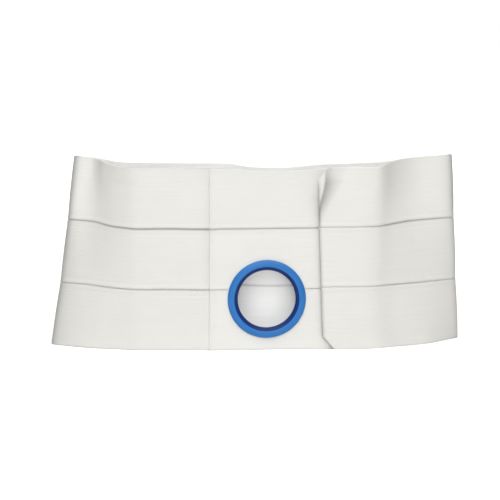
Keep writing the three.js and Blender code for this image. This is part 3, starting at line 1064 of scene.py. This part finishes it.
class FrontPanel:
    """The middle surface of the front panel, from its end under the flap to the joint."""

    def __init__(self, sizes):
        self.sizes = sizes
        first = JOINT_X - HEM_LAP
        steps = math.ceil((PANEL_END_X - first) / COLUMN_LENGTH)
        ends = np.array(END_ROUNDING)
        inner = np.linspace(first, PANEL_END_X, steps + 1)
        columns = (inner[:1], first + ends, inner[1:-1], PANEL_END_X - ends[::-1], inner[-1:])
        self.columns = np.concatenate(columns)[::-1]

    def row(self, share):
        """One level line of the panel, with the dip of its top edge."""
        x = self.columns
        top_share = max(0.0, share * STRIP_COUNT - STRIP_COUNT + 1)
        start, end = TOP_DIP_X
        in_dip = np.clip((x - start) / (end - start), 0, 1)
        height = share - TOP_DIP * np.sin(math.pi * in_dip) ** 2 * top_share / BELT_HEIGHT
        return np.column_stack((x, front_depth(x, height), FRONT_RISE * height))

    def swell(self, line, share):
        """How far the cloth stands off the front plane, nothing round the ring and under the flap."""
        crown = self.sizes.strip_crown * PANEL_CROWN_PART * strip_arch(share)
        clear_of_ring = smooth_step(np.linalg.norm(line - RING_CENTRE, axis=1), *RING_CLEARANCE)
        x = line[:, 0]
        clear_of_flap = 1 - smooth_step(x, *UNDER_FLAP_X)
        puckers = np.sin(TURN * x / PUCKER_LENGTH + nearest_seam(share)) - PANEL_PUCKER_BIAS
        puckers *= self.sizes.pucker_depth * PANEL_PUCKER_PART
        puckers *= math.exp(-seam_distance(share) / PUCKER_REACH)
        hem = HEM_LIFT * (1 - smooth_step(x, JOINT_X + HEM_FLAT_WIDTH, JOINT_X + HEM_WIDTH))
        return (crown + puckers + seam_welt(share)) * clear_of_ring * clear_of_flap + hem

    def surface(self, shares):
        """The cloth's middle surface at shares of the height."""
        rows = []
        for share in shares:
            line = self.row(share)
            out = level_out(line)
            middle = line + out * self.swell(line, share)[:, None]
            rows.append(Surface(middle, out, length_along(line), np.zeros(len(line))))
        return stacked(rows)


def strip_rows(sizes):
    """Distances across a strip where its rows stand, and how full the cloth is at each."""
    angles = np.linspace(0, math.pi / 2, EDGE_ROLL_STEPS + 1)
    edge = EDGE_ROLL * (1 - np.cos(angles))
    rows = np.linspace(0, STRIP_WIDTH, sizes.rib_count * ROWS_PER_RIB + 1)
    inner = rows[(rows > EDGE_ROLL_ROOM) & (rows < STRIP_WIDTH - EDGE_ROLL_ROOM)]
    across = np.concatenate((edge, inner, STRIP_WIDTH - edge[::-1]))
    fullness = np.concatenate((np.sin(angles), np.ones(len(inner)), np.sin(angles[::-1])))
    return across, fullness


def strip_shares(index, across):
    """Shares of the belt's height at distances across one strip."""
    return (index * STRIP_HEIGHT + SEAM_GAP / 2 + across) / BELT_HEIGHT


def edge_grey(across, index):
    """Painted shade along a strip's edges, in the seams' grooves and at the rims, by the distance across it.
    """
    tones = (RIM_TONE, *(seam.tone for seam in SEAMS), RIM_TONE)
    low = tones[index] * bell(across, SEAM_TONE_WIDTH)
    return low + tones[index + 1] * bell(STRIP_WIDTH - across, SEAM_TONE_WIDTH)


def grid_quads(index):
    """Faces of a grid of point numbers."""
    return np.stack((index[:-1, :-1], index[1:, :-1], index[1:, 1:], index[:-1, 1:]), axis=-1).reshape(-1, 4)


def ring_rim():
    """Directions from the ring's axis to its rim, at equal steps of a turn."""
    angles = TURN * np.arange(RING_SEGMENTS) / RING_SEGMENTS
    return np.outer(np.cos(angles), FRONT_ALONG) + np.outer(np.sin(angles), FRONT_UP)


# Meshes

def new_object(name, points, edges, faces):
    """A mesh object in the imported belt's place."""
    mesh = bpy.data.meshes.new(name)
    mesh.from_pydata((points + frame_shift()).tolist(), edges, faces, shade_flat=False)
    made = bpy.data.objects.new(name, mesh)
    bpy.context.scene.collection.objects.link(made)
    return made


def add_attribute(mesh, label, kind, values):
    """A point attribute of a mesh, from an array."""
    attribute = mesh.attributes.new(label, kind, "POINT")
    channel = "vector" if kind == "FLOAT_VECTOR" else "value"
    attribute.data.foreach_set(channel, values.astype(np.float32).ravel())


def new_piece(name, points, faces, corner_chart, attributes, material):
    """A mesh object with a UV map for the corners of its faces, point attributes and a material."""
    piece = new_object(name, points, [], faces.tolist())
    layer = piece.data.uv_layers.new(name=CHART)
    layer.data.foreach_set("uv", corner_chart.astype(np.float32).ravel())
    for label, values in attributes.items():
        add_attribute(piece.data, label, "FLOAT", values)
    piece.data.materials.append(material)
    return piece


def two_skins(name, middle, out, half, chart, attributes, material):
    """A closed sheet: two skins that stand half a thickness off the middle surface and share their rim."""
    rows, columns = half.shape
    front_index = np.arange(rows * columns).reshape(rows, columns)
    back_index = front_index.copy()
    inner = (rows - 2) * (columns - 2)
    back_index[1:-1, 1:-1] = front_index.size + np.arange(inner).reshape(rows - 2, columns - 2)

    def both(front, back):
        depth = front.shape[2:]
        return np.concatenate((front.reshape(-1, *depth), back[1:-1, 1:-1].reshape(-1, *depth)))

    points = both(middle + out * half[..., None], middle - out * half[..., None])
    faces = np.concatenate((grid_quads(front_index), grid_quads(back_index)[:, ::-1]))
    values = {label: both(value, value) for label, value in attributes.items()}
    values[LIGHTENED_LINING] = both(np.zeros(half.shape), np.ones(half.shape))
    return new_piece(name, points, faces, both(chart, chart)[faces.ravel()], values, material)


def keep_result(piece):
    """Turn what a piece's modifiers make into its own plain mesh."""
    depsgraph = bpy.context.evaluated_depsgraph_get()
    made = bpy.data.meshes.new_from_object(piece.evaluated_get(depsgraph))
    if not made.polygons:
        raise RuntimeError(f"{piece.name} came out empty")
    piece.modifiers.clear()
    plain = piece.data
    piece.data = made
    bpy.data.meshes.remove(plain)
    made.name = piece.name


def grow(piece, tree, values):
    """Put a geometry tree on a piece, with values for its named inputs."""
    modifier = piece.modifiers.new(tree.name, "NODES")
    modifier.node_group = tree
    for item in tree.interface.items_tree:
        if item.name in values:
            modifier[item.identifier] = values[item.name]


def weave(name, cloth, half, across, greys, sizes, material, cutter=None):
    """A ribbed strip of cloth round its middle surface, with a hole where a cutter is given."""
    shape = cloth.along.shape
    across_grid = np.broadcast_to(across[:, None], shape)
    chart = np.stack((cloth.along, across_grid), axis=-1)
    attributes = {ACROSS: across_grid, GREYED: np.broadcast_to(np.clip(greys, 0, 1), shape)}
    piece = two_skins(name, cloth.middle, cloth.out, half, chart, attributes, material)
    if cutter:
        cut = piece.modifiers.new("ring_hole", "BOOLEAN")
        cut.operation = "DIFFERENCE"
        cut.solver = "EXACT"
        cut.object = cutter
    ribs = {"Pitch": STRIP_WIDTH / sizes.rib_count, "Depth": sizes.rib_depth, "Material": material}
    grow(piece, bpy.data.node_groups.get("strip_ribs") or rib_tree(), ribs)
    keep_result(piece)
    return piece


# A line for stitches to follow, the outward direction at each of its points, and how far the thread pales
# there as the seams' painted shade fades
StitchPath = namedtuple("StitchPath", "line outs wear")


def sew(name, paths, pitch, reach, slant, sizes, material):
    """Stitches along paths, as a finished piece."""
    edges = []
    first = 0
    for path in paths:
        edges += [(first + step, first + step + 1) for step in range(len(path.line) - 1)]
        first += len(path.line)
    wear = [np.broadcast_to(path.wear, len(path.line)) for path in paths]
    piece = new_object(name, np.concatenate([path.line for path in paths]), edges, [])
    add_attribute(piece.data, OUT, "FLOAT_VECTOR", np.concatenate([path.outs for path in paths]))
    add_attribute(piece.data, THREAD_FADING, "FLOAT", np.concatenate(wear))
    values = {
        "Pitch": pitch,
        "Reach": reach,
        "Slant": slant,
        "Thread": sizes.thread_radius,
        "Seed": sizes.stitch_seed,
        "Material": material,
    }
    grow(piece, bpy.data.node_groups.get("sewn_stitches") or stitch_tree(), values)
    keep_result(piece)
    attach(piece, BODY)


def seam_thread(colours):
    """The seams' thread, made once and shared."""
    name = "seam_thread"
    return bpy.data.materials.get(name) or sewing_thread(name, colours.seam_thread, colours.elastic)


def zigzag(sizes):
    """Half length and slant of a seam's stitch, which crosses from one strip to the other."""
    half_pitch = sizes.seam_stitch_pitch / 2
    half_width = sizes.seam_stitch_width / 2
    return math.hypot(half_pitch, half_width), math.atan2(half_width, half_pitch)


def ring_cutter():
    """A round bar through the panel where the ring's collar passes."""
    rim = RING_CENTRE + RING_HOLE * ring_rim()
    points = np.concatenate((rim + CUTTER_REACH * FRONT_OUT, rim - CUTTER_REACH * FRONT_OUT))
    count = RING_SEGMENTS
    sides = [(count + step, count + (step + 1) % count, (step + 1) % count, step) for step in range(count)]
    caps = [tuple(range(count)), tuple(range(2 * count - 1, count - 1, -1))]
    return new_object("ring_cutter", points, [], sides + caps)


def hole_area(index):
    """Area of the ring's opening that falls in one strip of the panel."""
    def below(height):
        offset = np.clip((height - RING_HEIGHT) / RING_HOLE, -1, 1)
        return RING_HOLE ** 2 * (math.pi / 2 + math.asin(offset) + offset * math.sqrt(1 - offset ** 2))
    return float(below((index + 1) * STRIP_HEIGHT) - below(index * STRIP_HEIGHT))


def light_up(scene, lamp, target):
    """Put a lamp in its place, facing a target."""
    light = bpy.data.lights.new(lamp.name, lamp.kind)
    light.energy = lamp.power
    for name, value in lamp.settings.items():
        setattr(light, name, value)
    holder = bpy.data.objects.new(lamp.name, light)
    holder.visible_camera = False
    holder.location = lamp.place
    holder.rotation_euler = (target - lamp.place).to_track_quat("-Z", "Y").to_euler()
    scene.collection.objects.link(holder)


# Operators

class BELT_OT_elastic_strips(bpy.types.Operator):
    """Weave the three elastic strips that go round the waist and end as the flap."""
    bl_idname = "belt.elastic_strips"
    bl_label = "Elastic strips"

    def execute(self, context):
        sizes = context.scene.belt_sizes
        colours = context.scene.belt_colours
        loop = BeltLoop(sizes)
        material = woven_cloth("woven_elastic", colours.elastic, colours.lightened_lining, colours.groove, sizes)
        across, fullness = strip_rows(sizes)
        for index, place in enumerate(STRIP_NAMES):
            shares = strip_shares(index, across)
            cloth = loop.surface(shares)
            along = cloth.along
            thinned = 1 - (1 - TUCK_THICKNESS_PART) * (1 - smooth_step(along, 0, TUCK_WIDTH))
            ends = end_fullness(along) * end_fullness(along[:, -1:] - along) * thinned
            half = HALF_CLOTH * fullness[:, None] * ends
            # Painted shade along the seams and rims, faded on the flap and round the folds, on top of the
            # strips' darker tone towards the bottom, and painted shade round the folds, in the creases and
            # along the flap's edge
            seam_grey = edge_grey(across[:, None], index) * (1 - SEAM_FADE * loop.seam_fading(along))
            greys = STRIP_GREYS[index] + seam_grey + loop.greys(cloth, shares[:, None])
            piece = weave(f"elastic_{place}", cloth, half, across, greys, sizes, material)
            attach(piece, BODY)
            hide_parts(f"elastic_{place}_strip")
        return {"FINISHED"}


class BELT_OT_front_panel(bpy.types.Operator):
    """Weave the three strips of the front panel and cut the opening for the ring."""
    bl_idname = "belt.front_panel"
    bl_label = "Front panel"

    def execute(self, context):
        sizes = context.scene.belt_sizes
        colours = context.scene.belt_colours
        panel = FrontPanel(sizes)
        material = woven_cloth("panel_cloth", colours.panel, colours.lightened_lining, colours.groove, sizes)
        across, fullness = strip_rows(sizes)
        cutter = ring_cutter()
        for index, place in enumerate(STRIP_NAMES):
            cloth = panel.surface(strip_shares(index, across))
            from_joint = cloth.along[:, -1:] - cloth.along
            hem = 1 - smooth_step(from_joint, HEM_LAP, HEM_WIDTH)
            ends = end_fullness(cloth.along) * end_fullness(from_joint)
            half = HALF_CLOTH * (1 - (1 - HEM_THICKNESS_PART) * hem) * fullness[:, None] * ends
            # Painted shade along the panel's seams and rims, weaker than on the elastic
            greys = edge_grey(across[:, None], index) * PANEL_SEAM_PART
            cut_area = hole_area(index)
            cut_by = cutter if cut_area else None
            piece = weave(f"panel_{place}", cloth, half, across, greys, sizes, material, cut_by)
            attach(piece, BODY)
            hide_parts(f"panel_{place}_strip")
        bpy.data.objects.remove(cutter)
        return {"FINISHED"}


class BELT_OT_pouch_ring(bpy.types.Operator):
    """Mould the ring that lines the opening for the pouch."""
    bl_idname = "belt.pouch_ring"
    bl_label = "Pouch ring"

    def execute(self, context):
        colours = context.scene.belt_colours
        edges = np.array([(row.radius, row.depth) for row in RING_SECTION])
        section = []
        for index, row in enumerate(RING_SECTION):
            after = edges[(index + 1) % len(edges)]
            section.append(bend_arc(edges[index - 1], edges[index], after, row.rounding, RING_EDGE_STEPS))
        section = np.concatenate((*section, section[0][:1]))
        lengths = length_along(section)
        mouth = slice(-MOUTH_EDGES * (RING_EDGE_STEPS + 1) - 1, None)
        throat_start = float(np.interp(-THROAT_RADIUS, -section[mouth, 0], lengths[mouth]))
        rim = ring_rim()
        points = RING_CENTRE + rim[:, None, :] * section[None, :-1, :1] + FRONT_OUT * section[None, :-1, 1:]
        rows, columns = points.shape[:2]
        index = np.arange(rows * columns).reshape(rows, columns)
        faces = grid_quads(np.pad(index, ((0, 1), (0, 1)), mode="wrap"))
        turns = np.arange(rows + 1) / RING_SEGMENTS
        chart = np.stack(np.meshgrid(turns, lengths, indexing="ij"), axis=-1).reshape(-1, 2)
        corners = grid_quads(np.arange(len(chart)).reshape(rows + 1, columns + 1))
        material = moulded_plastic("ring_plastic", colours.ring, colours.throat, throat_start)
        piece = new_piece("ring", points.reshape(-1, 3), faces, chart[corners.ravel()], {}, material)
        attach(piece, BODY)
        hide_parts("pouch_ring")
        return {"FINISHED"}


class BELT_OT_hook_tape(bpy.types.Operator):
    """Lay the hook tape between the flap and the panel."""
    bl_idname = "belt.hook_tape"
    bl_label = "Hook tape"

    def execute(self, context):
        colours = context.scene.belt_colours
        half_width = PATCH_WIDTH / 2
        half_height = PATCH_HEIGHT / 2
        rounding = np.array(PATCH_ROUNDING)

        def stations(half, step):
            inner = np.linspace(-half + PATCH_INSET, half - PATCH_INSET, round(2 * half / step))
            return np.concatenate((-half + rounding, inner, half - rounding[::-1]))

        across = stations(half_width, PATCH_STEP_ACROSS)[::-1]
        up = stations(half_height, PATCH_STEP_UP)
        middle = PATCH_CENTRE + FRONT_ALONG * across[None, :, None] + FRONT_UP * up[:, None, None]
        across_full = end_fullness(half_width - np.abs(across), rounding[-1])
        up_full = end_fullness(half_height - np.abs(up), rounding[-1])
        half = up_full[:, None] * across_full[None, :] * PATCH_THICKNESS / 2
        chart = np.stack(np.broadcast_arrays(across[None, :], up[:, None]), axis=-1)
        out = np.broadcast_to(FRONT_OUT, middle.shape)
        material = hook_cloth("hook_tape", colours.hook_tape)
        piece = two_skins("hook_tape", middle, out, half, chart, {}, material)
        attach(piece, BODY)
        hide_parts("hook_patch")
        return {"FINISHED"}


class BELT_OT_seam_stitches(bpy.types.Operator):
    """Sew the strips together along both seams, outside and inside."""
    bl_idname = "belt.seam_stitches"
    bl_label = "Seam stitches"

    def execute(self, context):
        sizes = context.scene.belt_sizes
        loop = BeltLoop(sizes)
        panel = FrontPanel(sizes)
        thread = seam_thread(context.scene.belt_colours)
        reach, slant = zigzag(sizes)
        lift = HALF_CLOTH + SEAM_THREAD_LIFT
        for seam in SEAMS:
            shares = (seam.strips_below / STRIP_COUNT,)
            elastic = loop.surface(shares)
            line, outs = elastic.middle[0], elastic.out[0]
            wear = loop.seam_fading(elastic.along[0])
            paths = [
                StitchPath(line + lift * outs, outs, wear),
                StitchPath(line - lift * outs, -outs, np.maximum(wear, INNER_SEAM_FADING)),
            ]
            front = panel.surface(shares)
            line, outs = front.middle[0], front.out[0]
            x = line[:, 0]
            shown = (np.linalg.norm(line - RING_CENTRE, axis=1) > SEAM_RING_CLEARANCE) & (x < SEAM_HIDDEN_X)
            for part in (shown & (x <= RING_X), shown & (x > RING_X)):
                paths.append(StitchPath(line[part] + lift * outs[part], outs[part], PANEL_SEAM_FADING))
            sew(seam.name, paths, sizes.seam_stitch_pitch * seam.pitch_part, reach, slant, sizes, thread)
        return {"FINISHED"}


class BELT_OT_hem_stitches(bpy.types.Operator):
    """Sew the flap's edge and the hem at the joint."""
    bl_idname = "belt.hem_stitches"
    bl_label = "Hem stitches"

    def execute(self, context):
        sizes = context.scene.belt_sizes
        colours = context.scene.belt_colours
        elastic = BeltLoop(sizes).surface(np.linspace(*FLAP_STITCH_SPAN, PATH_ROWS))
        edge = elastic.middle[:, -1] + FLAP_STITCH_LIFT * FRONT_OUT + FLAP_STITCH_INSET * FRONT_ALONG
        path = StitchPath(edge, np.broadcast_to(FRONT_OUT, edge.shape), 0.0)
        grey = seam_thread(colours)
        sew("flap_edge_stitches", [path], OVERLOCK_PITCH, OVERLOCK_REACH, OVERLOCK_SLANT, sizes, grey)

        panel = FrontPanel(sizes)
        front = panel.surface(np.linspace(*JOINT_STITCH_SPAN, PATH_ROWS))
        paths = []
        for from_joint in JOINT_STITCH_ROWS:
            column = np.argmin(np.abs(panel.columns - JOINT_X - from_joint))
            outs = front.out[:, column]
            paths.append(StitchPath(front.middle[:, column] + JOINT_STITCH_LIFT * outs, outs, 0.0))
        pale = sewing_thread("hem_thread", colours.hem_thread, colours.panel)
        pitch = sizes.hem_stitch_pitch
        sew("joint_stitches", paths, pitch, JOINT_STITCH_PART * pitch, 0.0, sizes, pale)
        return {"FINISHED"}


class BELT_OT_stage(bpy.types.Operator):
    """Set the floor, the light and the camera."""
    bl_idname = "belt.stage"
    bl_label = "Stage"

    def execute(self, context):
        scene = context.scene
        shift = Vector(frame_shift())
        half = FLOOR_SIZE / 2
        corners = [(-half, -half, 0), (half, -half, 0), (half, half, 0), (-half, half, 0)]
        mesh = bpy.data.meshes.new("floor")
        mesh.from_pydata(corners, [], [(0, 1, 2, 3)])
        finish = Finish("pale_floor", FLOOR_SHADER)
        finish.set({"Base Color": opaque(scene.belt_colours.floor)})
        mesh.materials.append(finish.material)
        floor = bpy.data.objects.new("floor", mesh)
        scene.collection.objects.link(floor)

        world = bpy.data.worlds.new("studio")
        world.use_nodes = True
        background = world.node_tree.nodes["Background"]
        background.inputs["Color"].default_value = opaque((1.0, 1.0, 1.0))
        background.inputs["Strength"].default_value = WORLD_STRENGTH
        scene.world = world

        belt_middle = Vector((0, 0, BELT_HEIGHT / 2))
        for lamp in LAMPS:
            light_up(scene, lamp._replace(place=Vector(lamp.place) + shift), belt_middle)
        back = Vector((0, -math.cos(CAMERA_ELEVATION), math.sin(CAMERA_ELEVATION)))
        ring_middle = Vector(RING_CENTRE) + shift
        ring_place = ring_middle + RING_LAMP_DISTANCE * back
        beam = {
            "spot_size": 2 * math.atan(RING_LAMP_RADIUS / RING_LAMP_DISTANCE),
            "spot_blend": RING_LAMP_BLEND,
            "shadow_soft_size": RING_LAMP_SIZE,
        }
        light_up(scene, Lamp("through_ring", "SPOT", ring_place, RING_LAMP_POWER, beam), ring_middle)

        camera = bpy.data.cameras.new("camera")
        camera.sensor_width = CAMERA_SENSOR
        camera.lens = CAMERA_LENS
        eye = bpy.data.objects.new("camera", camera)
        eye.location = Vector(CAMERA_TARGET) + shift + CAMERA_DISTANCE * back
        eye.rotation_euler = (-back).to_track_quat("-Z", "Y").to_euler()
        scene.collection.objects.link(eye)
        scene.camera = eye
        scene.view_settings.view_transform = "Standard"
        return {"FINISHED"}


OPERATORS = (
    BELT_OT_elastic_strips,
    BELT_OT_front_panel,
    BELT_OT_pouch_ring,
    BELT_OT_hook_tape,
    BELT_OT_seam_stitches,
    BELT_OT_hem_stitches,
    BELT_OT_stage,
)


class BELT_PT_sidebar(bpy.types.Panel):
    """The belt's steps, sizes and colours."""
    bl_idname = "BELT_PT_sidebar"
    bl_label = "Support belt"
    bl_space_type = "VIEW_3D"
    bl_region_type = "UI"
    bl_category = "Belt"

    def draw(self, context):
        for operator in OPERATORS:
            self.layout.operator(operator.bl_idname)
        for group in (context.scene.belt_sizes, context.scene.belt_colours):
            for name in group.bl_rna.properties.keys():
                if name not in ("rna_type", "name"):
                    self.layout.prop(group, name)


CLASSES = (BeltSizes, BeltColours, *OPERATORS, BELT_PT_sidebar)


def register():
    """Register the classes and hang the properties on the scene."""
    for each in CLASSES:
        bpy.utils.register_class(each)
    bpy.types.Scene.belt_sizes = PointerProperty(type=BeltSizes)
    bpy.types.Scene.belt_colours = PointerProperty(type=BeltColours)


def unregister():
    """Take the properties and classes away again."""
    del bpy.types.Scene.belt_colours
    del bpy.types.Scene.belt_sizes
    for each in reversed(CLASSES):
        bpy.utils.unregister_class(each)


def main():
    """Build the belt and its stage."""
    register()
    bpy.ops.belt.elastic_strips()
    bpy.ops.belt.front_panel()
    bpy.ops.belt.pouch_ring()
    bpy.ops.belt.hook_tape()
    bpy.ops.belt.seam_stitches()
    bpy.ops.belt.hem_stitches()
    bpy.ops.belt.stage()


if __name__ == "__main__":
    main()
